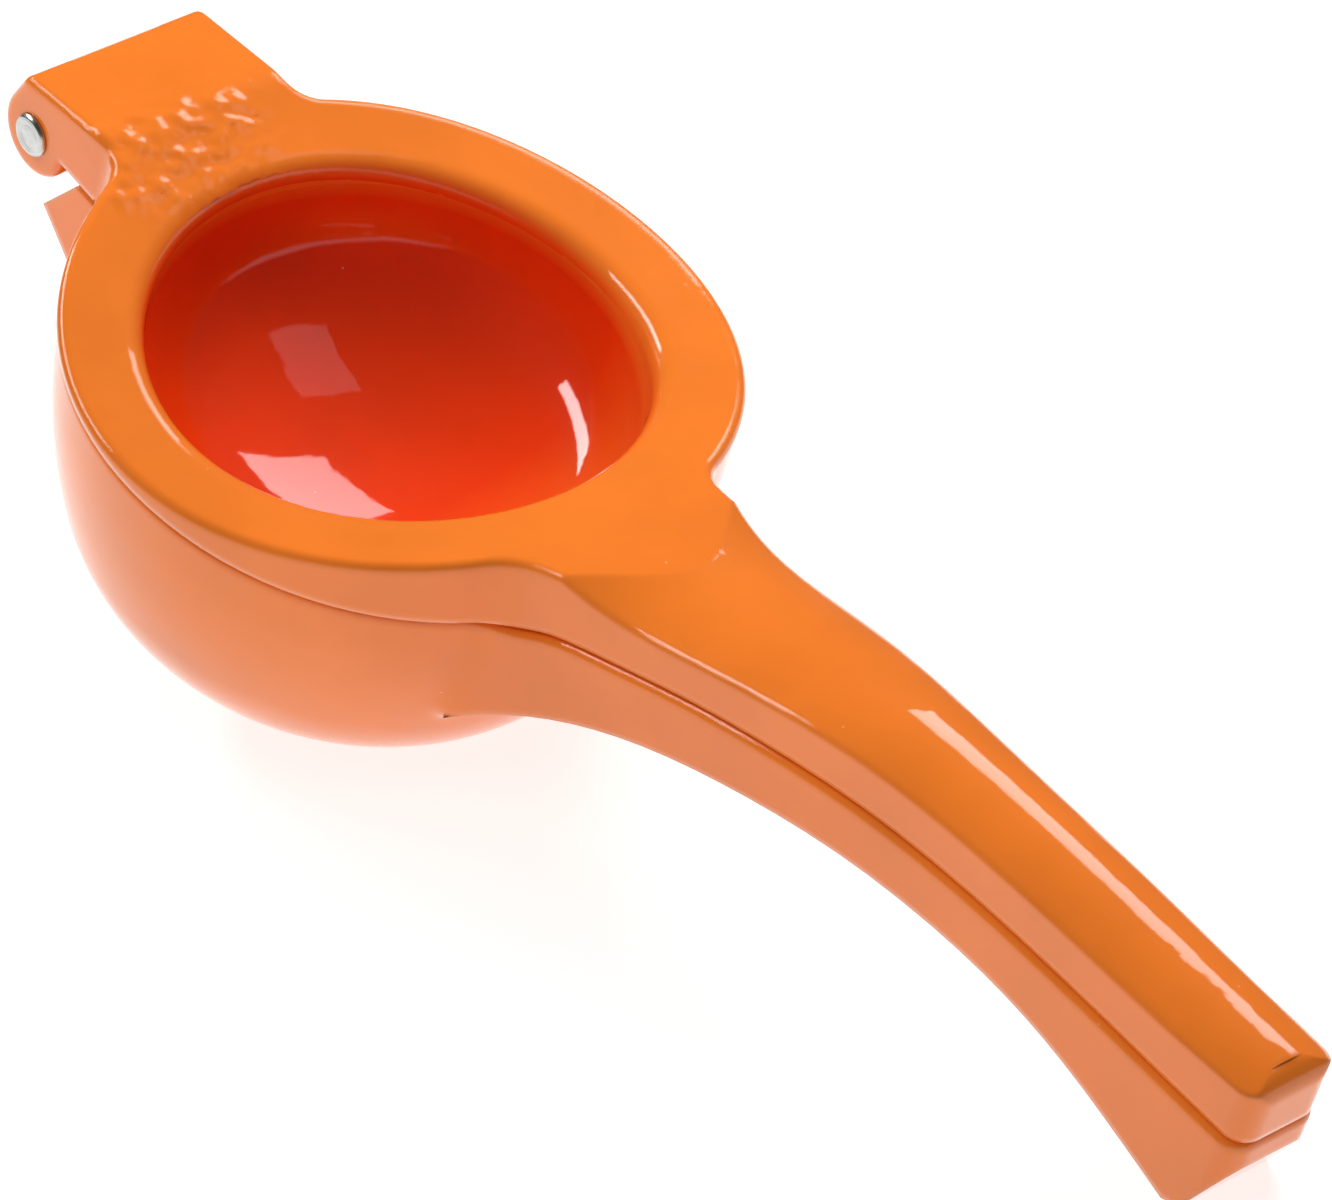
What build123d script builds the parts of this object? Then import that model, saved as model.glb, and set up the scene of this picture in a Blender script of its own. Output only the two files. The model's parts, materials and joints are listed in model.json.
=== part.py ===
import os
from math import acos, asin, atan2, cos, degrees, hypot, radians, sin, tan

from build123d import *

# A lever citrus press: two castings that turn on one riveted pin.
# Both arms are drawn closed, in the frame of the bowl's rim: the rim plane is XY, X runs from the bowl's
# axis to the handle's end, and Y lies along the hinge pin. The finished pieces are then leaned over Y,
# because the press stands on the round of its bowl and on the end of its lower handle.

# Bowl: three arcs that follow on from each other, from the upright rim down to the axis.
# The shares are of the bowl's radius.
bowl_radius = 45.8
bowl_wall = 3.0
bowl_side_share = 1.9
bowl_side_turn = 17.6
bowl_knee_share = 0.7
bowl_knee_turn = 53.4
parting_gap = 0.6

# Drain holes in the bowl's bottom
drain_diameter = 4.6
drain_inner_radius = 8.5
drain_outer_radius = 17.0
drain_inner_count = 6
drain_outer_count = 12

# Press ring: its top dips over the bowl and climbs towards the handle
ring_lip = 0.6
ring_land = 12.1
ring_middle_height = 2.4
ring_back_height = 4.8
ring_front_height = 13.1
ring_back_margin = 2.2
ring_front_margin = 0.8
tongue_length = 29.0
ring_edge_rounding = 1.1
mouth_rounding = 3.0

# Press cup: a dished bottom that turns up to the mouth in one round. The shares are of the mouth's radius.
cup_depth_share = 0.583
cup_dish_share = 2.1
cup_corner_share = 0.46
cup_wall = 3.2

# Hinge block of the upper arm, with the pin's place measured from the bowl's edge and rim
hinge_width = 30.3
hinge_offset = 16.3
hinge_drop = 6.6
knuckle_radius = 6.5
block_overhang = 3.9
block_back_height = 1.2
ear_bottom_depth = 6.3
ear_front_gap = 0.8
hinge_corner_rounding = 6.0
block_ridge_rounding = 12.0
block_back_rounding = 2.0

# Hinge lug of the bowl arm
knuckle_width = 14.4
knuckle_side_gap = 0.35
knuckle_top_gap = 0.5
lug_gap = 0.6
lug_top_offset = 5.7
lug_tip_offset = 11.3
lug_tip_depth = 15.6
lug_root_inset = 8.0
lug_root_depth = 28.9

# Pin
pin_diameter = 4.0
pin_running_gap = 0.05
pin_head_diameter = 6.4
pin_head_height = 0.9
pin_head_rounding = 0.6

# Handles
handle_length = 128.7
neck_width = 33.0
grip_width = 14.1
handle_start_inset = 5.3
handle_rise = 29.4
crease_rise = 37.3
crown_height = 3.5
handle_wall = 2.8
upper_channel_depth = 6.0
upper_channel_offset = 20.2
lower_web = 3.2
lower_channel_offset = 10.2
lower_margin = 0.4
neck_rounding = 8.0
end_corner_rounding = 3.4
end_top_rounding = 3.0
crease_rounding = 1.6
crease_margin = 0.2
brow_rounding = 1.2
root_rounding = 6.4

# End of the lower handle, which stands on the table
foot_inset = 7.5
foot_height = 11.7
foot_length = 3.0
lower_end_height = 24.2

# Cuts run past what they cut by this much
overrun = 5.0

# Half width of the handles: shares of the length, and of half the neck's width
plan_reach_shares = (-0.085, -0.010, 0.135, 0.298, 0.460, 0.732)
plan_width_shares = (1.180, 0.990, 0.788, 0.670, 0.548, 0.479)

# Underside of the upper handle: shares of the length, and of the handle's rise
underside_reach_shares = (0.031, 0.105, 0.227, 0.498, 0.729)
underside_rise_shares = (0.128, 0.265, 0.474, 0.791, 0.925)
underside_end_slope = 0.05

# Crowned top of the upper handle: shares of the length, of the crease's rise and of the crown's height
crown_reach_shares = (0.010, 0.079, 0.146, 0.304, 0.460, 0.596, 0.732, 0.867, 1.041)
crown_rise_shares = (0.412, 0.400, 0.448, 0.644, 0.787, 0.862, 0.918, 0.963, 1.012)
crown_height_shares = (0.86, 1.00, 0.92, 0.80, 0.74, 0.70, 0.66, 0.62, 0.57)

# Lower edge of the lower handle's walls. Its root goes by shares of the neck's width and of the bowl's
# radius, the rest by shares of the foot's distance from the bowl and of the foot's height.
root_reach_shares = (-0.325, -0.097, 0.257)
root_depth_shares = (0.621, 0.426, 0.203)
edge_reach_shares = (0.314, 0.577, 0.793, 0.917)
edge_height_shares = (0.556, 1.265, 1.419, 1.214)

# Where edges are looked for: the handle's root past this part of the bowl's radius, and the ring's edges
# past this part of the neck's or hinge's width, unless they stand more upright than the last share
root_start_share = 0.7
ring_edge_share = 0.43
half_share = 0.5
upright_share = 0.9

# Times that a search along the handle's side is halved
halvings = 30

# Places along X, all of which follow the bowl's edge
ring_radius = bowl_radius + ring_lip
mouth_radius = ring_radius - ring_land
cup_depth = mouth_radius * cup_depth_share
cup_dish_radius = mouth_radius * cup_dish_share
cup_corner_radius = mouth_radius * cup_corner_share
ring_back_reach = bowl_radius + ring_back_margin
ring_front_reach = bowl_radius - ring_front_margin
hinge_reach = bowl_radius + hinge_offset
block_back_reach = hinge_reach + block_overhang
handle_start_reach = bowl_radius - handle_start_inset
handle_reach = bowl_radius + handle_length
upper_channel_start = bowl_radius + upper_channel_offset
lower_channel_start = bowl_radius + lower_channel_offset
foot_reach = handle_reach - foot_inset
lug_root_reach = bowl_radius - lug_root_inset
lug_top_reach = bowl_radius + lug_top_offset
lug_tip_reach = bowl_radius + lug_tip_offset

# The bowl's arcs, worked out from the sizes above
bowl_side_radius = bowl_radius * bowl_side_share
bowl_knee_radius = bowl_radius * bowl_knee_share
side_angle = radians(bowl_side_turn)
knee_angle = radians(bowl_side_turn + bowl_knee_turn)
side_centre = (bowl_radius - bowl_side_radius, -parting_gap)
knee_offset = bowl_side_radius - bowl_knee_radius
knee_centre = (side_centre[0] + knee_offset * cos(side_angle), -parting_gap - knee_offset * sin(side_angle))
base_radius = bowl_knee_radius + knee_centre[0] / cos(knee_angle)
base_centre = (0, knee_centre[1] + knee_centre[0] * tan(knee_angle))

# The press leans until its bowl and its foot stand on one plane
foot_across = foot_reach - knee_centre[0]
foot_above = foot_height - knee_centre[1]
lean = asin(bowl_knee_radius / hypot(foot_across, foot_above)) + atan2(foot_above, foot_across)
rim_height = knee_centre[0] * sin(lean) - knee_centre[1] * cos(lean) + bowl_knee_radius
foot_front = (foot_reach + foot_length * cos(lean), foot_height + foot_length * sin(lean))

# Levels that the arms are cut between
ceiling = crease_rise + crown_height + overrun
end_top = crease_rise + crown_height * crown_height_shares[-1]
cellar = lug_root_depth + overrun
pin_place = (-hinge_reach, -hinge_drop)

# Side views are drawn on the far side and pulled across the whole width
width = 2 * (ring_radius + overrun)
side_view = Plane.XZ.offset(-width / 2)


def around(centre, radius, angle):
    # Point on a circle, with the angle counted downwards from +X
    return (centre[0] + radius * cos(angle), centre[1] - radius * sin(angle))


def tangent_point(place, side):
    # Where the line from a place touches the knuckle's round
    across = place[0] - pin_place[0]
    above = place[1] - pin_place[1]
    turn = atan2(above, across) + side * acos(knuckle_radius / hypot(across, above))
    return around(pin_place, knuckle_radius, -turn)


def arc_between(centre, radius, start, end):
    middle = (start + end) / 2
    return ThreePointArc(
        around(centre, radius, start), around(centre, radius, middle), around(centre, radius, end)
    )


def bowl_half(inset):
    # Half section of the bowl, inset from its outside and carried straight up past the rim
    with BuildSketch(Plane.YZ) as half:
        with BuildLine():
            side = arc_between(side_centre, bowl_side_radius - inset, 0, side_angle)
            knee = arc_between(knee_centre, bowl_knee_radius - inset, side_angle, knee_angle)
            base = arc_between(base_centre, base_radius - inset, knee_angle, radians(90))
            Polyline(base @ 1, (0, ceiling), ((side @ 0).X, ceiling), side @ 0)
        make_face()
    return half.sketch


def cup_half(wall, top):
    # Half section of the press cup, a wall's thickness outside its hollow, up to a level
    corner_across = mouth_radius - cup_corner_radius
    centre_distance = cup_dish_radius - cup_corner_radius
    turn = acos(corner_across / centre_distance)
    dish_centre = (0, cup_dish_radius - cup_depth)
    corner_centre = (corner_across, dish_centre[1] - centre_distance * sin(turn))
    with BuildSketch(Plane.YZ) as half:
        with BuildLine():
            corner = arc_between(corner_centre, cup_corner_radius + wall, 0, turn)
            dish = arc_between(dish_centre, cup_dish_radius + wall, turn, radians(90))
            Polyline(dish @ 1, (0, top), (mouth_radius + wall, top), corner @ 0)
        make_face()
    return half.sketch


def side_points(margin):
    # Points along a handle's side, widened by a margin
    points = [
        (bowl_radius + handle_length * reach, neck_width / 2 * share + margin)
        for reach, share in zip(plan_reach_shares, plan_width_shares)
    ]
    return points + [(handle_reach, grip_width / 2 + margin)]


def handle_plan(margin):
    # Plan of a handle from inside the ring to its end, widened by a margin on each side
    with BuildSketch() as plan:
        with BuildLine():
            side = Spline(*side_points(margin))
            Polyline(side @ 0, (0, (side @ 0).Y), (0, 0))
            Line(side @ 1, (handle_reach, 0))
            mirror(about=Plane.XZ)
        make_face()
    return plan.sketch


def underside_line(lift):
    # Underside of the upper handle, moved up or down by a lift, for use in a side view
    points = [(handle_start_reach, lift)]
    for reach, rise in zip(underside_reach_shares, underside_rise_shares):
        points.append((bowl_radius + handle_length * reach, handle_rise * rise + lift))
    points.append((handle_reach + overrun, handle_rise + overrun * underside_end_slope + lift))
    return Spline(*points, tangents=[(1, 0), (1, underside_end_slope)])


def half_width_at(reach):
    # Half width of the upper handle at a distance from the bowl's axis, found by halving
    side = Edge.make_spline([Vector(*point) for point in side_points(0)])
    low, high = 0, 1
    for halving in range(halvings):
        middle = (low + high) / 2
        if (side @ middle).X < reach:
            low = middle
        else:
            high = middle
    return (side @ low).Y


def is_ring_edge(edge):
    # True for the upper edges along the block, the ring and the neck
    middle = edge.center()
    floor = ring_front_height / 2 if middle.X > handle_start_reach / 2 else block_back_height / 2
    aside = ring_edge_share * (neck_width if middle.X > 0 else hinge_width)
    upright = abs((edge % half_share).Z) > upright_share
    within = floor < middle.Z < ceiling / 2 and middle.X < upper_channel_start
    return within and abs(middle.Y) > aside and not upright


def is_root_edge(edge):
    # True where the lower handle springs from the bowl's outside
    middle = edge.center()
    return bowl_radius * root_start_share < middle.X < bowl_radius and middle.Z < ceiling - overrun


def is_past_neck(edge):
    return edge.center().X > upper_channel_start


# Hollow of the upper handle, open below
with BuildPart() as upper_channel:
    with BuildSketch():
        add(handle_plan(-handle_wall))
        with Locations((upper_channel_start, 0)):
            Rectangle(
                handle_reach - handle_wall - upper_channel_start,
                neck_width,
                align=(Align.MIN, Align.CENTER),
                mode=Mode.INTERSECT,
            )
    extrude(amount=ceiling)
    with BuildSketch(side_view):
        with BuildLine():
            roof = underside_line(upper_channel_depth)
            mouth = underside_line(-overrun)
            Line(roof @ 0, mouth @ 0)
            Line(roof @ 1, mouth @ 1)
        make_face()
    extrude(amount=width, mode=Mode.INTERSECT)

# Upper casting: hinge block, ring, cup and upper handle
with BuildPart() as press_arm:
    with BuildSketch(Plane.XY.offset(-cellar)):
        Circle(ring_radius)
        Rectangle(
            hinge_reach + knuckle_radius + overrun, hinge_width, align=(Align.MAX, Align.CENTER)
        )
        add(handle_plan(0))
    extrude(amount=cellar + ceiling)
    upright = press_arm.edges().filter_by(Axis.Z)
    fillet(upright.filter_by_position(Axis.X, -ring_radius, 0), radius=hinge_corner_rounding)
    upright = press_arm.edges().filter_by(Axis.Z)
    fillet(upright.filter_by_position(Axis.X, handle_start_reach, ring_radius), radius=neck_rounding)
    upright = press_arm.edges().filter_by(Axis.Z)
    fillet(upright.sort_by(Axis.X)[-2:], radius=end_corner_rounding)
    with BuildSketch(side_view):
        with BuildLine():
            top = ThreePointArc(
                (-ring_back_reach, ring_back_height),
                (0, ring_middle_height),
                (ring_front_reach, ring_front_height),
            )
            tongue = PolarLine(top @ 1, tongue_length, direction=top % 1)
            underside = underside_line(0)
            block_corner = (-block_back_reach, block_back_height)
            Polyline(
                tongue @ 1,
                ((tongue @ 1).X, ceiling),
                (handle_reach + overrun, ceiling),
                underside @ 1,
            )
            Polyline(
                underside @ 0,
                (-lug_root_reach, 0),
                (-lug_root_reach, -ear_bottom_depth),
                (-hinge_reach, -ear_bottom_depth),
                tangent_point(block_corner, 1),
                block_corner,
                top @ 0,
            )
        make_face()
        with Locations(pin_place):
            Circle(knuckle_radius)
    extrude(amount=width, mode=Mode.INTERSECT)
    # The ears' fronts follow the bowl's round
    with BuildSketch(Plane.XY.offset(-cellar)):
        Circle(bowl_radius + ear_front_gap)
    extrude(amount=cellar, mode=Mode.SUBTRACT)
    across = press_arm.edges().filter_by(Axis.Y)
    ridge = across.sort_by_distance((-ring_back_reach, 0, ring_back_height))[0]
    fillet(ridge, radius=block_ridge_rounding)
    across = press_arm.edges().filter_by(Axis.Y)
    back = across.sort_by_distance((-block_back_reach, 0, block_back_height))[0]
    fillet(back, radius=block_back_rounding)
    fillet(press_arm.edges().filter_by(is_ring_edge), radius=ring_edge_rounding)
    # Crowned top of the handle, which leaves a curved ridge where it meets the ring's tongue
    for reach, rise, height in zip(crown_reach_shares, crown_rise_shares, crown_height_shares):
        station = bowl_radius + handle_length * reach
        half_width = half_width_at(station)
        crown = crown_height * height
        crown_radius = (half_width**2 + crown**2) / (2 * crown)
        crown_centre = (0, crease_rise * rise + crown - crown_radius)
        # The crown turns down into the handle's sides through a smaller round
        corner_distance = crown_radius - crease_rounding
        turn = acos((half_width + crease_margin - crease_rounding) / corner_distance)
        corner_centre = around(crown_centre, corner_distance, -turn)
        outer = half_width + handle_wall
        with BuildSketch(Plane.YZ.offset(station)):
            with BuildLine():
                corner = arc_between(corner_centre, crease_rounding, 0, -turn)
                arch = arc_between(crown_centre, crown_radius, -turn, turn - radians(180))
                mirrored = (-corner_centre[0], corner_centre[1])
                arc_between(mirrored, crease_rounding, turn - radians(180), radians(-180))
                Polyline(
                    corner @ 0,
                    (outer, corner_centre[1]),
                    (outer, ceiling),
                    (-outer, ceiling),
                    (-outer, corner_centre[1]),
                    around(mirrored, crease_rounding, radians(180)),
                )
            make_face()
    loft(mode=Mode.SUBTRACT)
    # Cup
    add(revolve(cup_half(cup_wall, ring_middle_height / 2), axis=Axis.Z, mode=Mode.PRIVATE))
    add(revolve(cup_half(0, ceiling), axis=Axis.Z, mode=Mode.PRIVATE), mode=Mode.SUBTRACT)
    ring_top = press_arm.faces().filter_by(lambda face: face.radius and face.radius > width)[0]
    fillet(ring_top.inner_wires()[0].edges(), radius=mouth_rounding)
    # The crown rolls over at the handle's end
    end_centre = (handle_reach - end_top_rounding, end_top - end_top_rounding)
    with BuildSketch(side_view):
        with BuildLine():
            end_round = arc_between(end_centre, end_top_rounding, radians(-90), 0)
            Polyline(
                end_round @ 1,
                (handle_reach + overrun, end_centre[1]),
                (handle_reach + overrun, ceiling),
                (end_centre[0], ceiling),
                end_round @ 0,
            )
        make_face()
    extrude(amount=width, mode=Mode.SUBTRACT)
    add(upper_channel.part, mode=Mode.SUBTRACT)
    # Slot for the bowl arm's knuckle, under the block's top
    with BuildSketch(Plane.XZ):
        with Locations(pin_place):
            Circle(knuckle_radius + knuckle_top_gap)
        with Locations((-block_back_reach, block_back_height)):
            Rectangle(knuckle_radius, cellar, align=(Align.MAX, Align.MAX))
    extrude(amount=knuckle_width / 2 + knuckle_side_gap, both=True, mode=Mode.SUBTRACT)
    with BuildSketch(Plane.XZ):
        with Locations(pin_place):
            Circle(pin_diameter / 2)
    extrude(amount=hinge_width, both=True, mode=Mode.SUBTRACT)

# Hollow of the lower handle, open below
with BuildPart() as lower_channel:
    with BuildSketch(Plane.XY.offset(-cellar)):
        add(handle_plan(lower_margin - handle_wall))
        with Locations((lower_channel_start, 0)):
            Rectangle(
                foot_reach - handle_wall - lower_channel_start,
                neck_width,
                align=(Align.MIN, Align.CENTER),
                mode=Mode.INTERSECT,
            )
    extrude(amount=cellar + ceiling)
    with BuildSketch(side_view):
        with BuildLine():
            roof = underside_line(-parting_gap - lower_web)
            Polyline(roof @ 0, (handle_start_reach, -cellar), ((roof @ 1).X, -cellar), roof @ 1)
        make_face()
    extrude(amount=width, mode=Mode.INTERSECT)

# Lower handle, still square at its top
with BuildPart() as lower_handle:
    with BuildSketch(Plane.XY.offset(-cellar)):
        add(handle_plan(lower_margin))
    extrude(amount=cellar + ceiling)
    upright = lower_handle.edges().filter_by(Axis.Z)
    fillet(upright.sort_by(Axis.X)[-2:], radius=end_corner_rounding)
    with BuildSketch(side_view):
        with BuildLine():
            root_points = [
                (bowl_radius + neck_width * reach, -bowl_radius * depth)
                for reach, depth in zip(root_reach_shares, root_depth_shares)
            ]
            edge_points = [
                (bowl_radius + (foot_reach - bowl_radius) * reach, foot_height * height)
                for reach, height in zip(edge_reach_shares, edge_height_shares)
            ]
            bottom_edge = Spline(*root_points, *edge_points, (foot_reach, foot_height))
            Polyline(
                bottom_edge @ 1,
                foot_front,
                (handle_reach, lower_end_height),
                (handle_reach + overrun, lower_end_height),
                (handle_reach + overrun, ceiling),
                ((bottom_edge @ 0).X, ceiling),
                bottom_edge @ 0,
            )
        make_face()
    extrude(amount=width, mode=Mode.INTERSECT)

# Lower casting: bowl, hinge lug and lower handle
with BuildPart() as bowl_arm:
    add(revolve(bowl_half(0), axis=Axis.Z, mode=Mode.PRIVATE))
    add(lower_handle.part)
    fillet(bowl_arm.edges().filter_by(is_root_edge), radius=root_rounding)
    # Parting line: flat over the bowl, then along the handle
    with BuildSketch(side_view):
        with BuildLine():
            top_edge = underside_line(-parting_gap)
            Polyline(
                top_edge @ 1,
                ((top_edge @ 1).X, -width),
                (-ring_radius, -width),
                (-ring_radius, -parting_gap),
                top_edge @ 0,
            )
        make_face()
    extrude(amount=width, mode=Mode.INTERSECT)
    brow = bowl_arm.faces().sort_by_distance((handle_reach / 2, 0, ceiling))[0]
    fillet(brow.edges().filter_by(is_past_neck), radius=brow_rounding)
    add(lower_channel.part, mode=Mode.SUBTRACT)
    lug_tip = (-lug_tip_reach, -lug_tip_depth)
    lug_top = -ear_bottom_depth - lug_gap
    with BuildSketch(Plane.XZ):
        with BuildLine():
            Polyline(
                (-lug_root_reach, lug_top),
                (-lug_top_reach, lug_top),
                lug_tip,
                (-lug_root_reach, -lug_root_depth),
                close=True,
            )
        make_face()
    extrude(amount=hinge_width / 2, both=True)
    with BuildSketch(Plane.XZ):
        with BuildLine():
            Polyline(
                pin_place,
                (-hinge_reach + knuckle_radius, -hinge_drop),
                (-hinge_reach + knuckle_radius, lug_top),
                (-lug_top_reach, lug_top),
                lug_tip,
                tangent_point(lug_tip, -1),
                close=True,
            )
        make_face()
        with Locations(pin_place):
            Circle(knuckle_radius)
    extrude(amount=knuckle_width / 2, both=True)
    add(revolve(bowl_half(bowl_wall), axis=Axis.Z, mode=Mode.PRIVATE), mode=Mode.SUBTRACT)
    with BuildSketch(Plane.XZ):
        with Locations(pin_place):
            Circle(pin_diameter / 2 + pin_running_gap)
    extrude(amount=hinge_width, both=True, mode=Mode.SUBTRACT)
    # Drain holes
    with BuildSketch(Plane.XY.offset(base_centre[1] - base_radius - overrun)):
        Circle(drain_diameter / 2)
        with PolarLocations(drain_inner_radius, drain_inner_count):
            Circle(drain_diameter / 2)
        with PolarLocations(drain_outer_radius, drain_outer_count):
            Circle(drain_diameter / 2)
    extrude(amount=overrun + bowl_knee_radius, mode=Mode.SUBTRACT)

# Rivet pin, its heads set against the ears
with BuildPart() as hinge_pin:
    with BuildSketch(Plane.XZ):
        with Locations(pin_place):
            Circle(pin_diameter / 2)
    extrude(amount=hinge_width / 2, both=True)
    for turned in (False, True):
        face = Plane.XZ.offset(-hinge_width / 2 if turned else hinge_width / 2)
        with BuildSketch(face):
            with Locations(pin_place):
                Circle(pin_head_diameter / 2)
        extrude(amount=-pin_head_height if turned else pin_head_height)
    heads = hinge_pin.edges().filter_by(GeomType.CIRCLE).sort_by(Axis.Y)
    fillet([heads[0], heads[-1]], radius=pin_head_rounding)

# Stand the press on its bowl and its foot, with its box centred over the origin
stand = Location((0, 0, rim_height), (0, degrees(lean), 0))
pieces = {"bowl_arm": bowl_arm.part, "press_arm": press_arm.part, "hinge_pin": hinge_pin.part}
box = Compound([piece.moved(stand) for piece in pieces.values()]).bounding_box()
centre = Location((-(box.min.X + box.max.X) / 2, 0, -box.min.Z))

os.makedirs("parts", exist_ok=True)
for node, piece in pieces.items():
    placed = piece.moved(centre * stand)
    placed.label = node
    export_step(placed, "parts/" + node + ".step")

pin_centre = (centre * stand * Location((-hinge_reach, 0, -hinge_drop))).position
rim_centre = (centre * stand).position
print("lean", degrees(lean), "rim", rim_centre, "pin", pin_centre)
print("size", box.size, "volumes", [round(piece.volume) for piece in pieces.values()])
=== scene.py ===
import json
import math

import bmesh
import bpy
from mathutils import Matrix, Vector, noise


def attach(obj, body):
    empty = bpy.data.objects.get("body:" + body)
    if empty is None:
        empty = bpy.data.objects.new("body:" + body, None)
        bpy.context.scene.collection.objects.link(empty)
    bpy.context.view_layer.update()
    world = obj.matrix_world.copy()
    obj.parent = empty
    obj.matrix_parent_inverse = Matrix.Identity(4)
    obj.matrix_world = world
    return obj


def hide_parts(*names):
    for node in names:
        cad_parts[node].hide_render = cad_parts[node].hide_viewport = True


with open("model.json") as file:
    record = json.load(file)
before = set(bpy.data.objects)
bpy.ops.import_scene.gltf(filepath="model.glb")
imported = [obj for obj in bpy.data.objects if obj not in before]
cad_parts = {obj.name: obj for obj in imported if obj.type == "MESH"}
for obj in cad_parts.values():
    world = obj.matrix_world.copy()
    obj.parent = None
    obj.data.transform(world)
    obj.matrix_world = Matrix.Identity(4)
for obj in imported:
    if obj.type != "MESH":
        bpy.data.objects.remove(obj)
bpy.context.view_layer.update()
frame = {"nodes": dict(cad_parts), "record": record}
pinPlace = Vector(frame["record"]["behaviour"]["joints"][0]["pos_m"])
mm = 0.001
mergeDistance = 1e-6
white = (1.0, 1.0, 1.0, 1.0)
scene = bpy.context.scene
scene.view_settings.view_transform = "Standard"
print("frame loaded")


def fromHex(code):
    # sRGB hex to linear colour
    parts = [int(code[i:i + 2], 16) / 255 for i in (1, 3, 5)]
    return [p / 12.92 if p <= 0.04045 else ((p + 0.055) / 1.055) ** 2.4 for p in parts] + [1.0]


def addNode(tree, kind, settings=None, links=None):
    # settings: attributes and socket values; links: input socket -> output socket
    node = tree.nodes.new(kind)
    for key, value in (settings or {}).items():
        if isinstance(key, str) and hasattr(node, key):
            setattr(node, key, value)
        else:
            node.inputs[key].default_value = value
    for key, source in (links or {}).items():
        tree.links.new(source, node.inputs[key])
    return node


def newTree(name):
    mat = bpy.data.materials.new(name)
    mat.use_nodes = True
    mat.node_tree.nodes.clear()
    return mat, mat.node_tree


# cast aluminium, dipped in enamel and fired: a thick glassy skin that rounds every edge and is slightly
# wavy;
# in the cup a deeper red is painted in as painted shade
enamel = {
    "colour": "#F78029",
    "thinAndLitEdgeColour": "#F98E3E",  # over edges: partly enamel run thin, partly painted light on the roundings
    "paintedCupShadeColour": "#EC3E0D",  # painted shade in the cup: a deeper red for the shade and red bounce light there
    "dustColour": "#FBC9A0",
    "edgeMm": 1.5,  # rounding that the skin gives a sharp edge
    "edgeSamples": 8,
    "edgeTurn": (0.97, 0.75),  # agreement of the rounded and true normals where the paler edge (thin enamel and painted light) starts and is full
    "thinAndLitEdgeShare": 0.6,
    "cupCentre": (-0.0633, 0.0, 0.0340),
    "cupReachMm": (38.18, 41.5),  # from the centre: painted shade full up to the first, none past the second
    "cupAxis": (0.3776, 0.0, 0.9260),
    "cupFacing": (-0.05, 0.15),  # share of the axis in a face's normal where the painted shade starts and is full
    "shadeFadeX": (-0.051, -0.029),  # x where the painted shade starts to lighten and is lightest: the wall towards the handle gets more light
    "shadeLightest": 0.4,
    "cloudMm": 22.0,
    "cloudSpan": (0.3, 0.7),  # part of the noise that the clouds use
    "cloudShade": (0.93, 1.05),
    "cloudRoughness": (0.28, 0.42),
    "speckMm": 8.0,
    "speckSizeMm": 0.22,
    "speckStrength": 0.5,
    "waveMm": 11.0,
    "waveHeightMm": 0.05,
    "peelMm": 2.6,
    "peelHeightMm": 0.018,
    "bodyGloss": 0.03,  # the colour lies inside the glass and has hardly a gloss of its own
    "glassIor": 1.54,
    "glassRoughness": 0.03,
}


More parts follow.
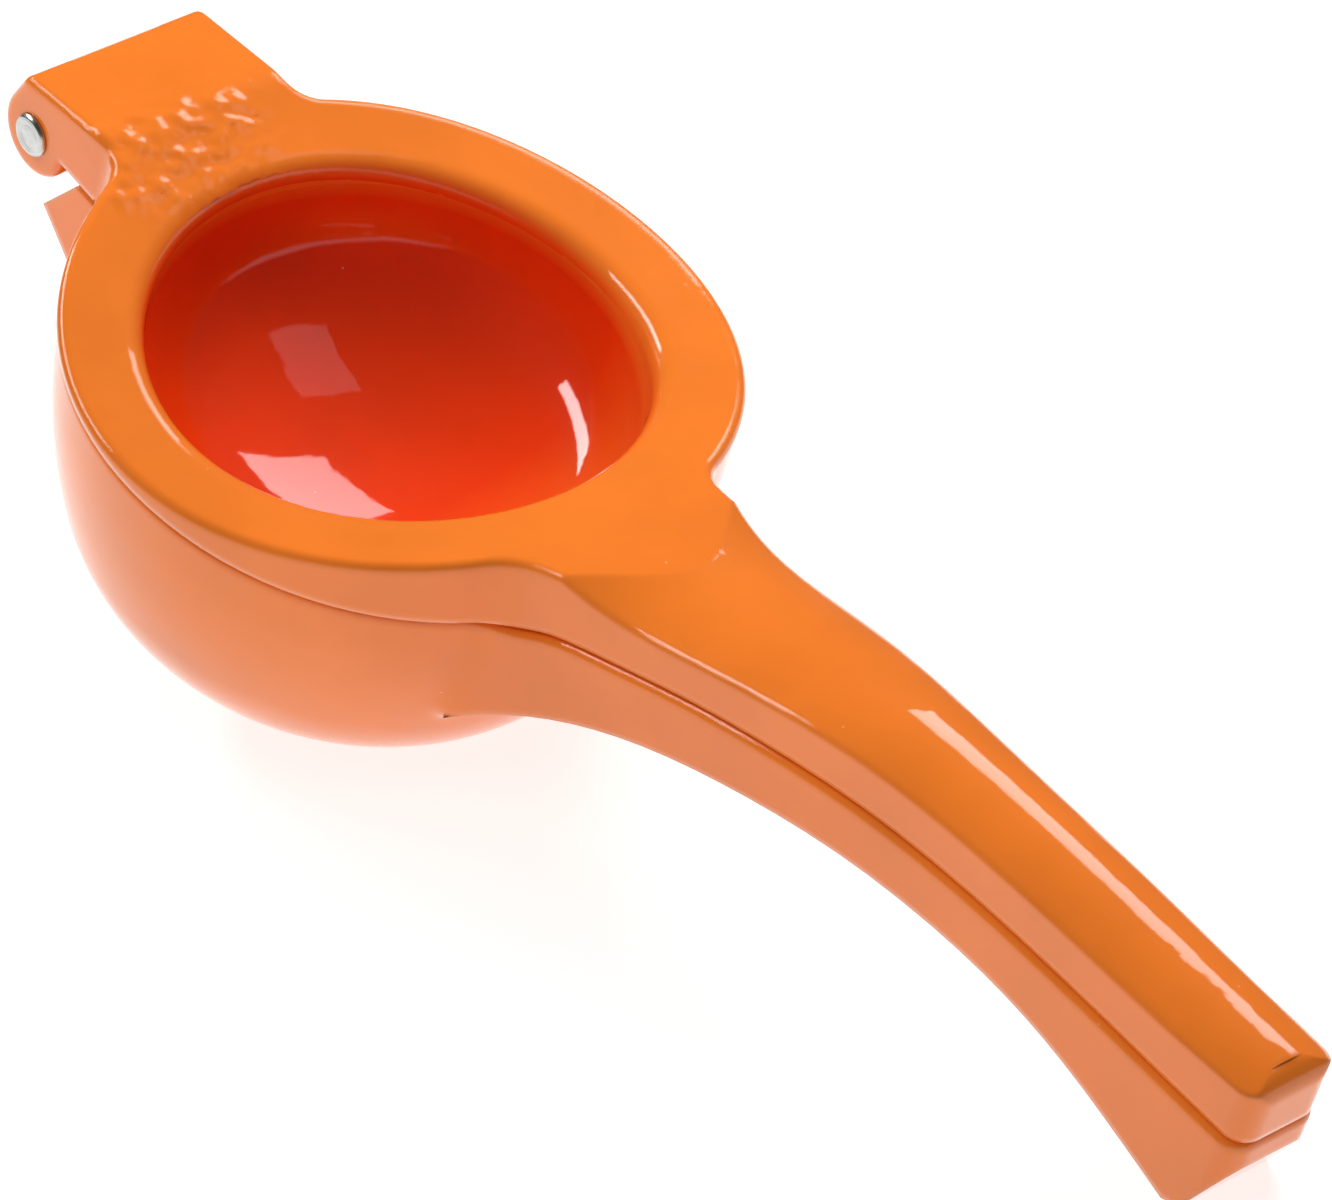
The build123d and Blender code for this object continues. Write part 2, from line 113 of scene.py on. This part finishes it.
def makeEnamel(spec):
    mat, tree = newTree("orangeFiredEnamel")
    texCoord = addNode(tree, "ShaderNodeTexCoord")
    place = texCoord.outputs["Object"]

    # long waves and fine orange peel over rounded edges
    rounded = addNode(tree, "ShaderNodeBevel", {
        "samples": spec["edgeSamples"], "Radius": spec["edgeMm"] * mm})
    wave = addNode(tree, "ShaderNodeTexNoise", {"Scale": 1 / (spec["waveMm"] * mm), "Detail": 1.0},
                   {"Vector": place})
    peel = addNode(tree, "ShaderNodeTexNoise", {"Scale": 1 / (spec["peelMm"] * mm), "Detail": 1.0},
                   {"Vector": place})
    peeled = addNode(tree, "ShaderNodeMath", {"operation": "MULTIPLY", 1: spec["peelHeightMm"] * mm},
                     {0: peel.outputs["Fac"]})
    height = addNode(tree, "ShaderNodeMath", {"operation": "MULTIPLY_ADD", 1: spec["waveHeightMm"] * mm},
                     {0: wave.outputs["Fac"], 2: peeled.outputs[0]})
    bump = addNode(tree, "ShaderNodeBump", {"Strength": 1.0, "Distance": 1.0},
                   {"Height": height.outputs[0], "Normal": rounded.outputs["Normal"]})

    # painted shade: a deeper red inside the cup, on what looks up out of it
    away = addNode(tree, "ShaderNodeVectorMath", {"operation": "DISTANCE", 1: spec["cupCentre"]}, {0: place})
    shadeFullTo, clearFrom = spec["cupReachMm"]
    near = addNode(tree, "ShaderNodeMapRange", {
        "interpolation_type": "SMOOTHSTEP", "From Min": shadeFullTo * mm, "From Max": clearFrom * mm,
        "To Min": 1.0, "To Max": 0.0}, {"Value": away.outputs["Value"]})
    upward = addNode(tree, "ShaderNodeVectorMath", {"operation": "DOT_PRODUCT", 1: spec["cupAxis"]},
                     {0: texCoord.outputs["Normal"]})
    facing = addNode(tree, "ShaderNodeMapRange", {
        "From Min": spec["cupFacing"][0], "From Max": spec["cupFacing"][1],
    }, {"Value": upward.outputs["Value"]})
    along = addNode(tree, "ShaderNodeSeparateXYZ", None, {0: place})
    # the painted shade lightens towards +X, where the cup's wall gets more light
    shadeAlongX = addNode(tree, "ShaderNodeMapRange", {
        "From Min": spec["shadeFadeX"][0], "From Max": spec["shadeFadeX"][1],
        "To Min": 1.0, "To Max": spec["shadeLightest"]}, {"Value": along.outputs["X"]})
    facingShade = addNode(tree, "ShaderNodeMath", {"operation": "MULTIPLY"},
                     {0: facing.outputs["Result"], 1: shadeAlongX.outputs["Result"]})
    paintedShadeShare = addNode(tree, "ShaderNodeMath", {"operation": "MULTIPLY"},
                    {0: facingShade.outputs[0], 1: near.outputs["Result"]})
    # painted shade: the enamel colour mixed towards the deeper red in the cup
    cupShadePainted = addNode(tree, "ShaderNodeMix", {
        "data_type": "RGBA", 6: fromHex(spec["colour"]), 7: fromHex(spec["paintedCupShadeColour"]),
    }, {0: paintedShadeShare.outputs[0]})

    # paler at edges, where the rounded normal leaves the true one: partly enamel run thin, partly painted
    # light on the roundings
    geometry = addNode(tree, "ShaderNodeNewGeometry")
    agree = addNode(tree, "ShaderNodeVectorMath", {"operation": "DOT_PRODUCT"},
                    {0: rounded.outputs["Normal"], 1: geometry.outputs["Normal"]})
    edge = addNode(tree, "ShaderNodeMapRange", {
        "From Min": spec["edgeTurn"][0], "From Max": spec["edgeTurn"][1], "To Max": spec["thinAndLitEdgeShare"],
    }, {"Value": agree.outputs["Value"]})
    # paler edge colour mixed in: thin enamel together with painted light
    thinAndLitEdged = addNode(tree, "ShaderNodeMix", {"data_type": "RGBA", 7: fromHex(spec["thinAndLitEdgeColour"])},
                      {0: edge.outputs["Result"], 6: cupShadePainted.outputs[2]})

    # faint clouds of thicker and thinner colour, and a few pale specks of dust fired in
    cloud = addNode(tree, "ShaderNodeTexNoise", {"Scale": 1 / (spec["cloudMm"] * mm), "Detail": 3.0},
                    {"Vector": place})
    span = {"From Min": spec["cloudSpan"][0], "From Max": spec["cloudSpan"][1]}
    shade = addNode(tree, "ShaderNodeMapRange", {
        **span, "To Min": spec["cloudShade"][0], "To Max": spec["cloudShade"][1],
    }, {"Value": cloud.outputs["Fac"]})
    clouded = addNode(tree, "ShaderNodeHueSaturation", None,
                      {"Color": thinAndLitEdged.outputs[2], "Value": shade.outputs["Result"]})
    dust = addNode(tree, "ShaderNodeTexVoronoi", {"Scale": 1 / (spec["speckMm"] * mm)}, {"Vector": place})
    speckSize = spec["speckSizeMm"] / spec["speckMm"]
    speck = addNode(tree, "ShaderNodeMapRange", {
        "From Min": speckSize / 2, "From Max": speckSize, "To Min": spec["speckStrength"], "To Max": 0.0,
    }, {"Value": dust.outputs["Distance"]})
    colour = addNode(tree, "ShaderNodeMix", {"data_type": "RGBA", 7: fromHex(spec["dustColour"])},
                     {0: speck.outputs["Result"], 6: clouded.outputs["Color"]})
    rough = addNode(tree, "ShaderNodeMapRange", {
        **span, "To Min": spec["cloudRoughness"][0], "To Max": spec["cloudRoughness"][1],
    }, {"Value": cloud.outputs["Fac"]})

    shader = addNode(tree, "ShaderNodeBsdfPrincipled", {
        "Specular IOR Level": spec["bodyGloss"], "Coat Weight": 1.0,
        "Coat IOR": spec["glassIor"], "Coat Roughness": spec["glassRoughness"],
    }, {
        "Base Color": colour.outputs[2], "Roughness": rough.outputs["Result"],
        "Normal": bump.outputs["Normal"], "Coat Normal": bump.outputs["Normal"],
    })
    addNode(tree, "ShaderNodeOutputMaterial", None, {"Surface": shader.outputs["BSDF"]})
    return mat


# zinc-plated steel, cold headed: satin silver with fine turned circles and a little tarnish
rivetSteel = {
    "colour": "#DADBD9",
    "dullColour": "#B4B6B3",
    "roughness": (0.21, 0.39),
    "circleMm": 0.45,  # drawn coarser than the real marks, which would be too fine to see
    "circleHeightMm": 0.012,
    "tarnishMm": 1.6,
}


def makeRivetSteel(spec):
    mat, tree = newTree("zincPlatedRivetSteel")
    place = addNode(tree, "ShaderNodeTexCoord").outputs["Object"]
    # circles round the pin's line, which lies along Y
    around = addNode(tree, "ShaderNodeVectorMath", {"operation": "SUBTRACT", 1: pinPlace}, {0: place})
    across = addNode(tree, "ShaderNodeVectorMath", {"operation": "MULTIPLY", 1: (1.0, 0.0, 1.0)},
                     {0: around.outputs["Vector"]})
    radius = addNode(tree, "ShaderNodeVectorMath", {"operation": "LENGTH"}, {0: across.outputs["Vector"]})
    phase = addNode(tree, "ShaderNodeMath", {
        "operation": "MULTIPLY", 1: 2 * math.pi / (spec["circleMm"] * mm)}, {0: radius.outputs["Value"]})
    circles = addNode(tree, "ShaderNodeMath", {"operation": "SINE"}, {0: phase.outputs[0]})
    height = addNode(tree, "ShaderNodeMath", {"operation": "MULTIPLY", 1: spec["circleHeightMm"] * mm},
                     {0: circles.outputs[0]})
    bump = addNode(tree, "ShaderNodeBump", {"Strength": 1.0, "Distance": 1.0}, {"Height": height.outputs[0]})
    tarnish = addNode(tree, "ShaderNodeTexNoise", {"Scale": 1 / (spec["tarnishMm"] * mm), "Detail": 3.0},
                      {"Vector": place})
    colour = addNode(tree, "ShaderNodeMix", {
        "data_type": "RGBA", 6: fromHex(spec["colour"]), 7: fromHex(spec["dullColour"])},
        {0: tarnish.outputs["Fac"]})
    rough = addNode(tree, "ShaderNodeMapRange", {
        "To Min": spec["roughness"][0], "To Max": spec["roughness"][1]}, {"Value": tarnish.outputs["Fac"]})
    shader = addNode(tree, "ShaderNodeBsdfPrincipled", {"Metallic": 1.0}, {
        "Base Color": colour.outputs[2], "Roughness": rough.outputs["Result"],
        "Normal": bump.outputs["Normal"]})
    addNode(tree, "ShaderNodeOutputMaterial", None, {"Surface": shader.outputs["BSDF"]})
    return mat


enamelMat = makeEnamel(enamel)
rivetMat = makeRivetSteel(rivetSteel)
print("materials made")

for name, material in (("press_arm", enamelMat), ("bowl_arm", enamelMat), ("hinge_pin", rivetMat)):
    slots = frame["nodes"][name].data.materials
    slots.clear()
    slots.append(material)
print("castings dressed")


def addPiece(name, bm, material, body):
    mesh = bpy.data.meshes.new(name)
    bm.to_mesh(mesh)
    bm.free()
    mesh.polygons.foreach_set("use_smooth", [True] * len(mesh.polygons))
    mesh.materials.append(material)
    piece = bpy.data.objects.new(name, mesh)
    scene.collection.objects.link(piece)
    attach(piece, body)
    return piece


# enamel that ran off the hinge block and set in lumps on the ring, laid over the casting's own skin
enamelRuns = {
    "centre": (-0.0938, -0.0070, 0.0727),
    "reach": (0.0160, 0.0225, 0.0130),
    "fullShare": 0.35,  # of the reach, lumps at full height inside it
    "leastUp": 0.3,  # only on faces whose normal has this much of up
    "stepMm": 0.5,
    "halvings": 7,  # enough to bring the casting's longest edge down to the step
    "lumpMm": 2.2,
    "lumpHeightMm": 0.40,
    "rippleMm": 1.1,
    "rippleHeightMm": 0.09,
    "thickMm": 0.30,
    "sinkMm": 0.03,  # its rim lies just under the casting's skin
}


def makeEnamelRuns(spec):
    # a copy of the casting's skin, cut to a box
    bm = bmesh.new()
    bm.from_mesh(frame["nodes"]["press_arm"].data)
    bmesh.ops.remove_doubles(bm, verts=bm.verts, dist=mergeDistance)
    centre, reach = Vector(spec["centre"]), Vector(spec["reach"])
    for axis in range(3):
        for sign in (-1, 1):
            way = Vector((0, 0, 0))
            way[axis] = sign
            bmesh.ops.bisect_plane(bm, geom=bm.verts[:] + bm.edges[:] + bm.faces[:], dist=mergeDistance / 10,
                                   plane_co=centre + way * reach[axis], plane_no=way, clear_outer=True)
    steep = [face for face in bm.faces if face.normal.z < spec["leastUp"]]
    bmesh.ops.delete(bm, geom=steep, context="FACES")
    for _ in range(spec["halvings"]):
        tooLong = [edge for edge in bm.edges if edge.calc_length() > spec["stepMm"] * mm]
        bmesh.ops.subdivide_edges(bm, edges=tooLong, cuts=1)
        bmesh.ops.triangulate(bm, faces=[face for face in bm.faces if len(face.verts) > 3])
    bm.normal_update()

    # lumps and ripples, fading out towards the reach
    moves, bare = [], []
    for vert in bm.verts:
        away = Vector([(vert.co[i] - centre[i]) / reach[i] for i in range(3)]).length
        share = min(1.0, max(0.0, (1.0 - away) / (1.0 - spec["fullShare"])))
        if share == 0:
            bare.append(vert)
        share = share * share * (3 - 2 * share)
        lump = spec["lumpHeightMm"] * noise.noise(vert.co / (spec["lumpMm"] * mm))
        ripple = spec["rippleHeightMm"] * noise.noise(vert.co / (spec["rippleMm"] * mm))
        rise = share * (spec["thickMm"] + lump + ripple) - spec["sinkMm"]
        moves.append((vert, vert.normal * rise * mm))
    for vert, move in moves:
        vert.co += move
    bmesh.ops.delete(bm, geom=bare, context="VERTS")
    addPiece("enamelRuns", bm, enamelMat, "press_body")


makeEnamelRuns(enamelRuns)
print("enamel runs set")

# one cold-headed rivet through the ears and the knuckle, with a pressed ring on each head
rivet = {
    "steps": 72,
    # radius and distance from the middle, mm, from the dimple over the lip to the shank
    "profile": [(0.0, 16.0), (0.8, 15.99), (1.3, 15.97), (1.55, 15.9), (1.75, 15.88), (1.95, 15.93),
                (2.2, 16.01), (2.45, 16.02), (2.75, 15.95), (3.0, 15.76), (3.14, 15.5), (3.18, 15.16),
                (2.0, 15.15)],
}


def makeRivet(spec):
    bm = bmesh.new()
    line = spec["profile"] + [(r, -y) for r, y in reversed(spec["profile"])]
    verts = [bm.verts.new(pinPlace + Vector((r, y, 0)) * mm) for r, y in line]
    edges = [bm.edges.new(pair) for pair in zip(verts, verts[1:])]
    bmesh.ops.spin(bm, geom=verts + edges, cent=pinPlace, axis=(0, 1, 0), angle=2 * math.pi,
                   steps=spec["steps"])
    bmesh.ops.remove_doubles(bm, verts=bm.verts, dist=mergeDistance)
    bmesh.ops.recalc_face_normals(bm, faces=bm.faces)
    piece = addPiece("hingeRivet", bm, rivetMat, "press_body")
    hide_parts("hinge_pin")


makeRivet(rivet)
print("rivet headed")

# studio: pale lit floor, dim surround, softboxes; the fills light the enamel without showing in it
studio = {
    "floorColour": "#A5A5A3",
    "floorRoughness": 0.9,
    "floorGloss": 0.2,
    "floorGlow": 0.82,
    "floorSize": 6.0,
    "surround": 0.05,
    "backdrop": 0.92,
    "aim": (0.0, 0.0, 0.04),
    "softboxes": [
        # name, direction from the aim, distance, width, height, brightness, way of its width, seen in gloss
        ("farSoftbox", (-0.29, 0.69, 0.66), 1.4, 0.38, 0.36, 4.8, (1, 0, 0), True),
        ("leftSoftbox", (-0.65, -0.25, 0.70), 1.4, 1.00, 0.22, 11.0, (-0.49, 0.59, -0.23), True),
        ("rightSoftbox", (0.20, 0.47, 0.86), 1.4, 0.34, 0.30, 0.7, (1, 0, 0), True),
        ("farFill", (-0.20, 0.60, 0.77), 0.75, 0.50, 0.50, 5.8, (1, 0, 0), False),
        ("frontFill", (0.10, -0.58, 0.81), 1.5, 1.00, 1.00, 2.1, (1, 0, 0), False),
    ],
}
bpy.ops.mesh.primitive_plane_add(size=studio["floorSize"])
floor = bpy.context.object
floor.name = "paleFloor"
floorMat, floorTree = newTree("paleFloorPaper")
floorShader = addNode(floorTree, "ShaderNodeBsdfPrincipled", {
    "Base Color": fromHex(studio["floorColour"]), "Roughness": studio["floorRoughness"],
    "Specular IOR Level": studio["floorGloss"],
    "Emission Color": white, "Emission Strength": studio["floorGlow"]})
addNode(floorTree, "ShaderNodeOutputMaterial", None, {"Surface": floorShader.outputs["BSDF"]})
floor.data.materials.append(floorMat)

world = bpy.data.worlds.new("studioSurround")
world.use_nodes = True
sky = world.node_tree
sky.nodes.clear()
# pale behind the object, dim in its gloss
path = addNode(sky, "ShaderNodeLightPath")
strength = addNode(sky, "ShaderNodeMapRange", {"To Min": studio["surround"], "To Max": studio["backdrop"]},
                   {"Value": path.outputs["Is Camera Ray"]})
surround = addNode(sky, "ShaderNodeBackground", {"Color": white}, {"Strength": strength.outputs["Result"]})
addNode(sky, "ShaderNodeOutputWorld", None, {"Surface": surround.outputs["Background"]})
scene.world = world

for name, direction, distance, wide, high, bright, widthWay, inGloss in studio["softboxes"]:
    data = bpy.data.lights.new(name, "AREA")
    data.shape = "RECTANGLE"
    data.size, data.size_y = wide, high
    data.energy = bright * math.pi * wide * high  # watts for that brightness
    lamp = bpy.data.objects.new(name, data)
    way = Vector(direction).normalized()
    side = Vector(widthWay) - Vector(widthWay).dot(way) * way
    side.normalize()
    turn = Matrix((side, way.cross(side), way)).transposed().to_4x4()
    lamp.matrix_world = Matrix.Translation(Vector(studio["aim"]) + way * distance) @ turn
    lamp.visible_glossy = inGloss
    scene.collection.objects.link(lamp)
print("studio lit")

# camera: long lens, looking down over the handles' side; angles in degrees
view = {
    "location": (0.79357, -0.63497, 0.63526),
    "turn": 51.299,
    "drop": 30.4166,
    "roll": -2.308,
    "lensMm": 243.24,
    "sensorMm": 36.0,
}
camData = bpy.data.cameras.new("photoCamera")
camData.sensor_width = view["sensorMm"]
camData.lens = view["lensMm"]
cam = bpy.data.objects.new("photoCamera", camData)
turned = (Matrix.Rotation(math.radians(view["turn"]), 4, "Z")
          @ Matrix.Rotation(math.radians(90 - view["drop"]), 4, "X")
          @ Matrix.Rotation(math.radians(view["roll"]), 4, "Z"))
cam.matrix_world = Matrix.Translation(view["location"]) @ turned
scene.collection.objects.link(cam)
scene.camera = cam
print("camera set")
